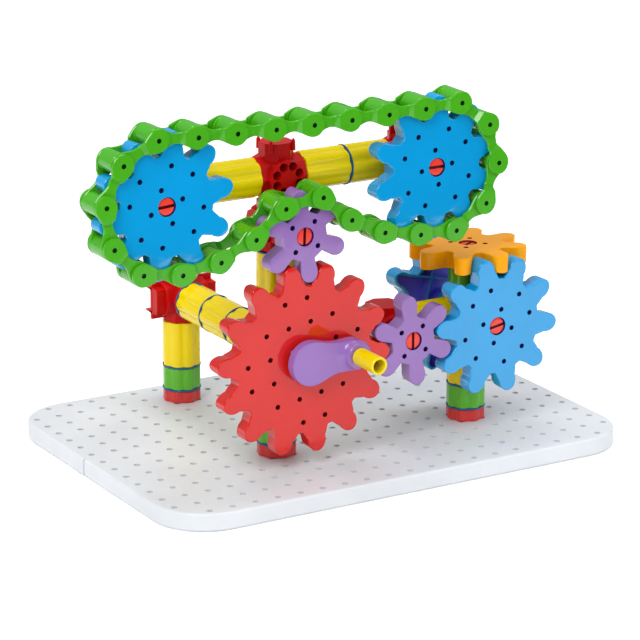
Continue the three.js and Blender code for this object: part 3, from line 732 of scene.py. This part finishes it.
def back_hollow(teeth, lattice, finish):
    """The hollow of a gear's back: it reaches into the teeth, and straight ribs and the hub cross it"""
    # The finish left on the hollow's walls, ribs and hub is painted shade
    hollow = bmesh.new()
    outline = walled(toothed_outline(teeth, TOOTH_DRAFT, -GEAR_HALF - OVERRUN), TOOTH_WALL)
    mouth = loop_of(hollow, outline)
    floor = risen(hollow, mouth, 2 * GEAR_HALF - WEB + OVERRUN)
    filled(hollow, mouth)
    filled(hollow, floor)
    kept = []
    span = teeth * MODULE * 2
    for place in (-PITCH, PITCH):
        for size, move in (((RIB, span, span), (place, 0, 0)), ((span, RIB, span), (0, place, 0))):
            rib = turned_shape(block(bmesh.new(), size, move), lattice)
            kept.append(mesh_object(rib, "rib", finish))
    hub = bar(HUB_RADIUS, -THROUGH, THROUGH, ROUND_SEGMENTS)
    kept.append(mesh_object(hub, "hub", finish))
    return carved(mesh_object(hollow, "hollow", finish), kept)


def gear_body(name, teeth, standoff, slot, lattice):
    """A gear about +Z with its smooth face up and its hub reaching down to the connector"""
    bm = bmesh.new()
    face = loop_of(bm, toothed_outline(teeth, 0, GEAR_HALF))
    back = loop_of(bm, toothed_outline(teeth, TOOTH_DRAFT, -GEAR_HALF))
    bmesh.ops.bridge_loops(bm, edges=face + back)
    filled(bm, face)
    filled(bm, back)
    bevelled(bm, face + back, GEAR_EDGE)
    gear = mesh_object(bm, name + "_moulding", FINISHES[slot])
    # The hollow back, the peg holes and the pin seat are painted in shade
    carved(gear, [back_hollow(teeth, lattice, SHADED_HOLLOW.get(slot, SHADED[slot]))])
    hub = bar(HUB_RADIUS, SEAT_GAP - GEAR_HALF - standoff, 0, ROUND_SEGMENTS)
    carved(gear, [mesh_object(hub, "hub", FINISHES[slot])], "UNION")
    hole = bar(PEG_HOLE_RADIUS, GEAR_HALF - PEG_HOLE_DEPTH, GEAR_HALF * 2, PEG_HOLE_SEGMENTS)
    places = lattice_moves(teeth * MODULE / 2 - MODULE - HOLE_RADIUS)
    holes = copied(bmesh.new(), hole, [lattice @ place for place in places])
    bore = bar(PIN_SHAFT + PIN_PLAY, -THROUGH, PITCH, ROUND_SEGMENTS)
    seat = bar(PIN_SEAT_RADIUS, GEAR_HALF - PIN_SEAT_DEPTH, PITCH, ROUND_SEGMENTS)
    cuts = [mesh_object(holes, "holes", SHADED[slot]), mesh_object(bore, "bore")]
    return carved(gear, cuts + [mesh_object(seat, "seat", SHADED[slot])])


PIN_SEAT_RADIUS = 5.7
PIN_SEAT_DEPTH = 3.2
PIN_SINK = 0.7
PIN_REACH = 7.6
PIN_CHAMFER = 0.6
PIN_HEAD_RADIUS = 5.4
PIN_HEAD_THICKNESS = 2
PIN_DOME = [(0, 0.7), (0.3, 0.25), (1, 0.02)]
PIN_DOME_FLAT = 3
PIN_SLOT_SIZE = (30, 1.8, 3)


def pin_body(name, standoff):
    """A snap pin about the axis of its gear: a domed slotted head, and a shaft into the socket"""
    top = GEAR_HALF - PIN_SINK
    bottom = -GEAR_HALF - standoff - PIN_REACH
    profile = [(0, bottom), (PIN_SHAFT - PIN_CHAMFER, bottom), (PIN_SHAFT, bottom + PIN_CHAMFER)]
    profile += [(PIN_SHAFT, top - PIN_HEAD_THICKNESS), (PIN_HEAD_RADIUS, top - PIN_HEAD_THICKNESS)]
    profile += [(PIN_HEAD_RADIUS - inward, top - below) for inward, below in PIN_DOME]
    profile += [(PIN_DOME_FLAT, top), (0, top)]
    pin = mesh_object(spun(profile), name + "_moulding", FINISHES["pin_red"])
    slot = block(bmesh.new(), PIN_SLOT_SIZE, (0, 0, top))
    return carved(pin, [mesh_object(slot, "slot", SHADED["pin_red"])])


FRONT_PLANE = Matrix.Translation((0, FRONT_GEARS_Y, 0)) @ Matrix.Rotation(RIGHT, 4, "X")
REAR_PLANE = Matrix.Translation((0, REAR_GEAR_Y, 0)) @ Matrix.Rotation(-RIGHT, 4, "X")
LEVEL_PLANE = Matrix.Translation((0, 0, CROSSING_Z))
FRONT_STANDOFF = 8.2
CROSSING_STANDOFF = 3.3


def meshed_turn(turn, teeth, direction, other_teeth, other_direction):
    """Turn at which the other gear's tooth gap meets a tooth, each gear seen towards the other"""
    phase = (direction - turn) / TURN * teeth
    return other_direction - (0.5 - phase) * TURN / other_teeth


DRIVE_TURN = math.radians(99.4)
LEFT_PIVOT_TURN = math.radians(100)
RIGHT_PIVOT_TURN = math.radians(70)
HALF_BLUE_TOOTH = TURN / BLUE_TEETH / 2
left_turn = LEFT_PIVOT_TURN - HALF_BLUE_TOOTH
right_turn = RIGHT_PIVOT_TURN - HALF_BLUE_TOOTH
top_pinion_turn = meshed_turn(DRIVE_TURN, DRIVE_TEETH, RIGHT, PINION_TEETH, -RIGHT)
lower_pinion_turn = meshed_turn(DRIVE_TURN, DRIVE_TEETH, 0, PINION_TEETH, math.pi)
transfer_turn = meshed_turn(lower_pinion_turn, PINION_TEETH, 0, BLUE_TEETH, math.pi)
crossing_turn = meshed_turn(transfer_turn, BLUE_TEETH, RIGHT, CROSSING_TEETH, -RIGHT)
rear_turn = meshed_turn(crossing_turn, CROSSING_TEETH, RIGHT, BLUE_TEETH, -RIGHT)

# Name, colour slot, teeth, turn, plane, axle in it, degrees of the pin's slot, teeth the holes turn by
GEARS = [
    ("drive_gear", "gear_red", DRIVE_TEETH, DRIVE_TURN, FRONT_PLANE, (LEFT_X, AXLE_Z), 0, 0),
    ("top_pinion", "gear_purple", PINION_TEETH, top_pinion_turn, FRONT_PLANE, (LEFT_X, UPPER_Z), 88, 1),
    ("lower_pinion", "gear_purple", PINION_TEETH, lower_pinion_turn, FRONT_PLANE, (LINK_X, AXLE_Z), 90, 0),
    ("transfer_gear", "gear_blue", BLUE_TEETH, transfer_turn, FRONT_PLANE, (RIGHT_X, AXLE_Z), 10, 0),
    ("left_sprocket", "gear_blue", BLUE_TEETH, left_turn, FRONT_PLANE, (BEAM_LEFT_X, BEAM_Z), 4, 2),
    ("right_sprocket", "gear_blue", BLUE_TEETH, right_turn, FRONT_PLANE, (BEAM_RIGHT_X, BEAM_Z), 0, 0),
    ("rear_gear", "gear_blue", BLUE_TEETH, rear_turn, REAR_PLANE, (RIGHT_X, -AXLE_Z), 0, -2),
    ("crossing_gear", "gear_orange", CROSSING_TEETH, crossing_turn, LEVEL_PLANE, (RIGHT_X, FRONT_Y), 30, 0),
]
for name, slot, teeth, turn, plane, (x, y), slot_turn, steps in GEARS:
    axle = plane @ Matrix.Translation((x, y, 0))
    standoff = CROSSING_STANDOFF if name == "crossing_gear" else FRONT_STANDOFF
    gear = gear_body(name, teeth, standoff, slot, Matrix.Rotation(steps * TURN / teeth, 4, "Z"))
    body = "drive" if name == "drive_gear" else name
    placed(gear, axle @ Matrix.Rotation(turn, 4, "Z"), body, slot, name)
    pin = pin_body(name + "_pin", standoff)
    pin_turn = Matrix.Rotation(math.radians(slot_turn), 4, "Z")
    placed(pin, axle @ pin_turn, "frame", "pin_red", name + "_pin")

# Crank

CRANK_TURN = math.radians(4)
CRANK_RADIUS = 28.5
CRANK_HUB_RADIUS = 13.4
CRANK_NECK_RADIUS = 9.5
CRANK_BOTTOM = 5.8
CRANK_ARM_BOTTOM = 8.8
CRANK_TOP = 14.8
CRANK_EDGE = 0.7
CRANK_WAIST = 1.6
CRANK_ARC_STEPS = 24
BOSS_RADIUS = 9
BOSS_FLARE = 14
BOSS_TOP_RADIUS = 8.2
BOSS_TOP = 20.5
BOSS_RIM = 0.6
BOSS_ROOT = 2
BOSS_SEGMENTS = 40
KEY_RADIUS = 1.3
KEY_DEPTH = 1.7
RECESS_RADIUS = 6.4
RECESS_DEPTH = 2
GRIP_BOTTOM = 20.9
GRIP_LENGTH = 21.5
GRIP_RADIUS = 5.5
GRIP_BORE = 3.9
GRIP_FOOT_EDGE = 0.4
GRIP_RIM = [(0, 0.6), (0.2, 0.2), (0.6, 0)]
GRIP_MOUTH = 0.3
GRIP_PEG_RADIUS = 3.4
GRIP_PEG_REACH = 13
GRIP_PEG_CHAMFER = 1


def paddle(top):
    """The crank's flat arm, drawn round its hub and its boss with hollow sides between them, and its rim"""
    bm = bmesh.new()
    tangent = math.acos((CRANK_HUB_RADIUS - BOSS_RADIUS) / CRANK_RADIUS)
    shares = [step / CRANK_ARC_STEPS for step in range(CRANK_ARC_STEPS + 1)]
    middle = Vector((CRANK_RADIUS, 0, 0))
    boss = [polar(BOSS_RADIUS, tangent * (2 * share - 1)) + middle for share in shares]
    hub = [polar(CRANK_HUB_RADIUS, tangent + (TURN - 2 * tangent) * share) for share in shares]
    upper = []
    for share in shares[1:-1]:
        hollowed = CRANK_WAIST * math.sin(math.pi * share) ** 2
        upper.append(boss[-1].lerp(hub[0], share) - polar(hollowed, tangent))
    lower = [Vector((point.x, -point.y, 0)) for point in reversed(upper)]
    outline = boss + upper + hub + lower
    foot = loop_of(bm, [point + Vector((0, 0, CRANK_ARM_BOTTOM)) for point in outline])
    rim = risen(bm, foot, top - CRANK_ARM_BOTTOM)
    filled(bm, foot)
    filled(bm, rim)
    return bm, rim


def crank_boss():
    """The boss that swells from the arm in a hollow curve, cut off at the arm's sides"""
    rise = BOSS_TOP - BOSS_RIM - CRANK_TOP
    flare = BOSS_FLARE - BOSS_TOP_RADIUS
    profile = [(0, CRANK_TOP - BOSS_ROOT), (BOSS_FLARE, CRANK_TOP - BOSS_ROOT)]
    for step in range(EDGE_STEPS * 2 + 1):
        arc = RIGHT * step / EDGE_STEPS / 2
        profile.append((BOSS_FLARE - flare * math.sin(arc), CRANK_TOP + rise * (1 - math.cos(arc))))
    profile += [(BOSS_TOP_RADIUS - BOSS_RIM, BOSS_TOP), (0, BOSS_TOP)]
    boss = spun(profile, BOSS_SEGMENTS)
    bmesh.ops.translate(boss, verts=boss.verts, vec=(CRANK_RADIUS, 0, 0))
    limit = mesh_object(paddle(BOSS_TOP + OVERRUN)[0], "limit", FINISHES["crank_purple"])
    return carved(mesh_object(boss, "boss", FINISHES["crank_purple"]), [limit], "INTERSECT")


def crank_arm():
    """The arm with its neck on the gear, four keys in the gear's peg holes, and the peg of the grip"""
    flat, rim = paddle(CRANK_TOP)
    bevelled(flat, rim, CRANK_EDGE)
    arm = mesh_object(flat, "crank_arm_moulding", FINISHES["crank_purple"])
    root = CRANK_ARM_BOTTOM + OVERRUN
    neck = bar(CRANK_NECK_RADIUS, CRANK_BOTTOM, root, FINE_SEGMENTS)
    peg_top = GRIP_BOTTOM + GRIP_PEG_REACH
    profile = [(0, root), (GRIP_PEG_RADIUS, root), (GRIP_PEG_RADIUS, peg_top - GRIP_PEG_CHAMFER)]
    profile += [(GRIP_PEG_RADIUS - GRIP_PEG_CHAMFER, peg_top), (0, peg_top)]
    peg = spun(profile)
    bmesh.ops.translate(peg, verts=peg.verts, vec=(CRANK_RADIUS, 0, 0))
    turned = Matrix.Rotation(DRIVE_TURN - CRANK_TURN, 4, "Z")
    places = [turned @ place for place in cell_corners()]
    key = bar(KEY_RADIUS, GEAR_HALF - KEY_DEPTH, root, SMALL_SEGMENTS)
    keys = copied(bmesh.new(), key, places)
    added = [mesh_object(piece, "part", FINISHES["crank_purple"]) for piece in (neck, peg, keys)]
    carved(arm, [crank_boss()] + added, "UNION")
    return carved(arm, [mesh_object(bar(RECESS_RADIUS, 0, CRANK_BOTTOM + RECESS_DEPTH), "recess")])


def crank_grip():
    """The hollow grip, loose on the crank's peg"""
    top = GRIP_BOTTOM + GRIP_LENGTH
    foot_edge = (GRIP_RADIUS, GRIP_BOTTOM + GRIP_FOOT_EDGE)
    profile = [(GRIP_BORE, GRIP_BOTTOM), (GRIP_RADIUS - GRIP_FOOT_EDGE, GRIP_BOTTOM), foot_edge]
    profile += [(GRIP_RADIUS - inward, top - below) for inward, below in GRIP_RIM]
    profile += [(GRIP_BORE + GRIP_MOUTH, top), (GRIP_BORE, top - GRIP_MOUTH), (GRIP_BORE, GRIP_BOTTOM)]
    return mesh_object(spun(profile, FINE_SEGMENTS), "crank_grip_moulding", FINISHES["grip_yellow"])


crank_axle = FRONT_PLANE @ Matrix.Translation((LEFT_X, AXLE_Z, 0)) @ Matrix.Rotation(CRANK_TURN, 4, "Z")
placed(crank_arm(), crank_axle, "drive", "crank_purple", "crank_arm")
grip_axle = crank_axle @ Matrix.Translation((CRANK_RADIUS, 0, 0))
placed(crank_grip(), grip_axle, "grip", "grip_yellow", "crank_grip")

# Chain, whose pivots are complex numbers in the plane of the front gears

CHAIN_SAG = 2.2
WRAP_LINKS = 5
TOP_RUN_LINKS = 8
LOWER_RUN_LINKS = 3
SOLVER_STEPS = 60
PINION_PIVOT_TURN = math.radians(70)
CHAIN_LEFT = complex(BEAM_LEFT_X, BEAM_Z)
CHAIN_RIGHT = complex(BEAM_RIGHT_X, BEAM_Z)
CHAIN_PINION = complex(LEFT_X, UPPER_Z)


def chord_half_angle(span, link, count):
    """Half the angle that one link takes on a free run, whose links lie as chords of an arc"""
    low, high = 0, math.pi / count
    for _ in range(SOLVER_STEPS):
        middle = (low + high) / 2
        if link * math.sin(middle * count) / math.sin(middle) > span:
            low = middle
        else:
            high = middle
    return (low + high) / 2


def hanging_run(start, end, link, count):
    """The pivots between the two ends of a free run, which hangs as an arc"""
    span = end - start
    half = chord_half_angle(abs(span), link, count)
    side = math.copysign(1, span.real)
    points = []
    for step in range(count - 1):
        start += cmath.rect(link, cmath.phase(span) - side * half * (count - 1 - 2 * step))
        points.append(start)
    return points


def wrapped_pivots(centre, teeth, link, first, count):
    radius = link / 2 / math.sin(math.pi / teeth)
    return [centre + cmath.rect(radius, first + step * TURN / teeth) for step in range(count)]


def chain_wraps(link, pinion_first):
    """The pivots that lie in the teeth of the left sprocket, the top pinion and the right sprocket"""
    right_first = RIGHT_PIVOT_TURN - WRAP_LINKS / BLUE_TEETH * TURN
    left = wrapped_pivots(CHAIN_LEFT, BLUE_TEETH, link, LEFT_PIVOT_TURN, WRAP_LINKS + 1)
    pinion = wrapped_pivots(CHAIN_PINION, PINION_TEETH, link, pinion_first, 2)[::-1]
    right = wrapped_pivots(CHAIN_RIGHT, BLUE_TEETH, link, right_first, WRAP_LINKS + 1)
    return left, pinion, right


def solved_link():
    """Link length at which the top run hangs by its sag"""
    link = (BEAM_RIGHT_X - BEAM_LEFT_X) / TOP_RUN_LINKS
    for _ in range(SOLVER_STEPS):
        left, _, right = chain_wraps(link, 0)
        span = abs(left[0] - right[-1])
        half_arc = 2 * math.atan(2 * CHAIN_SAG / span)
        link = span / math.sin(half_arc) * math.sin(half_arc / TOP_RUN_LINKS)
    return link


def chain_pivots(link):
    gaps = [top_pinion_turn + (step + 0.5) * TURN / PINION_TEETH for step in range(PINION_TEETH)]
    first = max(gaps, key=lambda turn: math.cos(turn - PINION_PIVOT_TURN))
    left, pinion, right = chain_wraps(link, first)
    pivots = left + hanging_run(left[-1], pinion[0], link, LOWER_RUN_LINKS)
    pivots += pinion + hanging_run(pinion[1], right[0], link, LOWER_RUN_LINKS)
    return pivots + right + hanging_run(right[-1], left[0], link, TOP_RUN_LINKS)


PLATE_INSIDE = 6
FORK_INSIDE = 8.5
PLATE_THICKNESS = 2
PLATE_BULGE = 6.9
PLATE_WAIST = 3
PLATE_EDGE = 0.45
PLATE_STEPS = 24
CAP_STEPS = 6
STEP_START = 10.4
STEP_END = 8.2
END_SHARE = 0.92
DRUM_RADIUS = 6.3
DRUM_SHIFT = 0.6
DRUM_OVERLAP = 0.5
PIVOT_HOLE = 1.5
PIVOT_HOLE_DEPTH = 1.4
PIVOT_PIN_RADIUS = 1.9
PIVOT_SEGMENTS = 16
LINKS_PER_PIECE = 2


def plate_stations(link):
    """[x, half height, outward shift] along a side plate, from round its barrel to round its fork"""
    arcs = [RIGHT * (1 - END_SHARE * (1 - step / CAP_STEPS)) for step in range(CAP_STEPS)]
    rows = [(-PLATE_BULGE * math.cos(arc), PLATE_BULGE * math.sin(arc), 0) for arc in arcs]
    for step in range(PLATE_STEPS + 1):
        x = link * step / PLATE_STEPS
        swing = (1 + math.cos(TURN * step / PLATE_STEPS)) / 2
        share = min(1, max(0, (x - link + STEP_START) / (STEP_START - STEP_END)))
        shift = (FORK_INSIDE - PLATE_INSIDE) * share * share * (3 - 2 * share)
        rows.append((x, PLATE_WAIST + (PLATE_BULGE - PLATE_WAIST) * swing, shift))
    ends = [(link - x, half, FORK_INSIDE - PLATE_INSIDE) for x, half, _ in rows[:CAP_STEPS]]
    return rows + ends[::-1]


def link_plate(bm, link, side):
    """Adds the side plate of a link on one side of the chain's middle"""
    rings = []
    for x, half, shift in plate_stations(link):
        low, high = PLATE_INSIDE + shift, PLATE_INSIDE + shift + PLATE_THICKNESS
        edge = min(PLATE_EDGE, half / 2)
        corners = [(half - edge, low), (half, low + edge), (half, high - edge), (half - edge, high)]
        corners += [(-y, z) for y, z in reversed(corners)]
        rings.append(loop_of(bm, [(x, y, side * z) for y, z in corners]))
    for near, far in zip(rings, rings[1:]):
        bmesh.ops.bridge_loops(bm, edges=near + far)
    filled(bm, rings[0])
    filled(bm, rings[-1])


def chain_link(link):
    """A cranked link from the pivot of its barrel at the origin to the pivot of its fork"""
    bm = bmesh.new()
    link_plate(bm, link, 1)
    link_plate(bm, link, -1)
    plates = mesh_object(bm, "plates", FINISHES["chain_green"])
    reach = FORK_INSIDE + PLATE_THICKNESS
    pivot = Matrix.Translation((link, 0, 0))
    hole = turned_shape(bar(PIVOT_HOLE, -reach - OVERRUN, reach + OVERRUN, PIVOT_SEGMENTS), pivot)
    carved(plates, [mesh_object(hole, "hole", SHADED["chain_green"])])
    pin = bar(PIVOT_PIN_RADIUS, PIVOT_HOLE_DEPTH - reach, reach - PIVOT_HOLE_DEPTH, PIVOT_SEGMENTS)
    # The pivot pin carries painted shade, a dark floor in each pivot hole
    for face in pin.faces:
        face.material_index = 1
    return copied(shape_of(plates), pin, [pivot])


def chain():
    link = solved_link()
    pivots = chain_pivots(link)
    link_shape = chain_link(link)
    half = PLATE_INSIDE + DRUM_OVERLAP
    drum_shape = bar(DRUM_RADIUS, -half, half, ROUND_SEGMENTS)
    pieces = []
    for index, (fork, barrel) in enumerate(zip(pivots, pivots[1:] + pivots[:1])):
        if index % LINKS_PER_PIECE == 0:
            pieces.append(bmesh.new())
        nearest = min((CHAIN_LEFT, CHAIN_RIGHT, CHAIN_PINION), key=lambda centre: abs(barrel - centre))
        drum = barrel + (barrel - nearest) / abs(barrel - nearest) * DRUM_SHIFT
        turned = Matrix.Rotation(cmath.phase(fork - barrel), 4, "Z")
        for shape, place in ((link_shape, barrel), (drum_shape, drum)):
            move = Matrix.Translation((place.real, place.imag, 0))
            copied(pieces[-1], shape.copy(), [move @ turned])
    link_shape.free()
    drum_shape.free()
    for index, bm in enumerate(pieces):
        node = "chain_links_" + str(index + 1).zfill(2)
        piece = mesh_object(bm, node + "_moulding", FINISHES["chain_green"])
        piece.data.materials.append(SHADED["chain_green"])
        placed(piece, FRONT_PLANE, "frame", "chain_green", node)


chain()

# Light, floor and backdrop

FLOOR_SPAN = 6
FLOOR_FRONT = -0.53
FLOOR_HEIGHT = -0.0003
FLOOR_GREY = 0.94
FLOOR_GLOW = 0.35
AMBIENT = 0.62
MIRRORED_FRONT = 0.05
MIRRORED_BACK = 0.35
MIRRORED_TURNOVER = 0.35
WHITE = (1, 1, 1, 1)
LIGHT_AIM = Vector((0, 0, 0.1))
# Name, place, width, power
LIGHTS = [
    ("key_light", (-1.3, -1.0, 1.5), 1.1, 22),
    ("fill_light", (1.5, -1.4, 0.9), 1.4, 8),
    ("top_light", (0.1, 0.3, 1.9), 1.2, 12),
]
for name, place, size, power in LIGHTS:
    lamp = bpy.data.lights.new(name, "AREA")
    lamp.shape = "DISK"
    lamp.size = size
    lamp.energy = power
    light = bpy.data.objects.new(name, lamp)
    light.location = place
    light.rotation_euler = (LIGHT_AIM - Vector(place)).to_track_quat("-Z", "Y").to_euler()
    bpy.context.scene.collection.objects.link(light)


def white_background(tree):
    made = tree.nodes.new("ShaderNodeBackground")
    made.inputs["Color"].default_value = WHITE
    return made


def mixed(tree, share, first, second):
    """The first shader, or the second one where the share is 1"""
    mix = tree.nodes.new("ShaderNodeMixShader")
    tree.links.new(share, mix.inputs["Fac"])
    tree.links.new(first, mix.inputs[1])
    tree.links.new(second, mix.inputs[2])
    return mix.outputs["Shader"]


def add_world():
    world = bpy.data.worlds.new("studio")
    bpy.context.scene.world = world
    world.use_nodes = True
    tree = world.node_tree
    nodes, links = tree.nodes, tree.links
    ambient = nodes["Background"]
    ambient.inputs["Color"].default_value = WHITE
    ambient.inputs["Strength"].default_value = AMBIENT
    backdrop = white_background(tree)
    # What glossy plastic mirrors: the white sweep behind, a dim studio in front
    mirrored = white_background(tree)
    place = nodes.new("ShaderNodeTexCoord")
    parts = nodes.new("ShaderNodeSeparateXYZ")
    links.new(place.outputs["Generated"], parts.inputs["Vector"])
    behind = nodes.new("ShaderNodeMapRange")
    behind.inputs["From Min"].default_value = -MIRRORED_TURNOVER
    behind.inputs["From Max"].default_value = MIRRORED_TURNOVER
    behind.inputs["To Min"].default_value = MIRRORED_FRONT
    behind.inputs["To Max"].default_value = MIRRORED_BACK
    links.new(parts.outputs["Y"], behind.inputs["Value"])
    links.new(behind.outputs["Result"], mirrored.inputs["Strength"])
    rays = nodes.new("ShaderNodeLightPath")
    seen = mixed(tree, rays.outputs["Is Camera Ray"], ambient.outputs[0], backdrop.outputs[0])
    whole = mixed(tree, rays.outputs["Is Glossy Ray"], seen, mirrored.outputs[0])
    links.new(whole, nodes["World Output"].inputs["Surface"])


def floor_paper():
    """White paper that keeps its shadows, lifted a little for the camera only"""
    material = bpy.data.materials.new("floor_paper")
    material.use_nodes = True
    tree = material.node_tree
    nodes, links = tree.nodes, tree.links
    paper = nodes["Principled BSDF"]
    paper.inputs["Base Color"].default_value = (FLOOR_GREY, FLOOR_GREY, FLOOR_GREY, 1)
    paper.inputs["Roughness"].default_value = 1
    paper.inputs["Specular IOR Level"].default_value = 0
    glow = nodes.new("ShaderNodeEmission")
    glow.inputs["Strength"].default_value = FLOOR_GLOW
    both = nodes.new("ShaderNodeAddShader")
    links.new(paper.outputs["BSDF"], both.inputs[0])
    links.new(glow.outputs["Emission"], both.inputs[1])
    rays = nodes.new("ShaderNodeLightPath")
    lifted = mixed(tree, rays.outputs["Is Camera Ray"], paper.outputs["BSDF"], both.outputs["Shader"])
    links.new(lifted, nodes["Material Output"].inputs["Surface"])
    return material


def add_floor():
    bm = bmesh.new()
    bmesh.ops.create_grid(bm, x_segments=1, y_segments=1, size=FLOOR_SPAN / 2)
    bmesh.ops.translate(bm, verts=bm.verts, vec=(0, FLOOR_FRONT + FLOOR_SPAN / 2, 0))
    mesh = bpy.data.meshes.new("floor")
    bm.to_mesh(mesh)
    bm.free()
    mesh.materials.append(floor_paper())
    floor = bpy.data.objects.new("floor", mesh)
    floor.location.z = FLOOR_HEIGHT
    bpy.context.scene.collection.objects.link(floor)


add_world()
add_floor()
bpy.context.scene.view_settings.view_transform = "Standard"
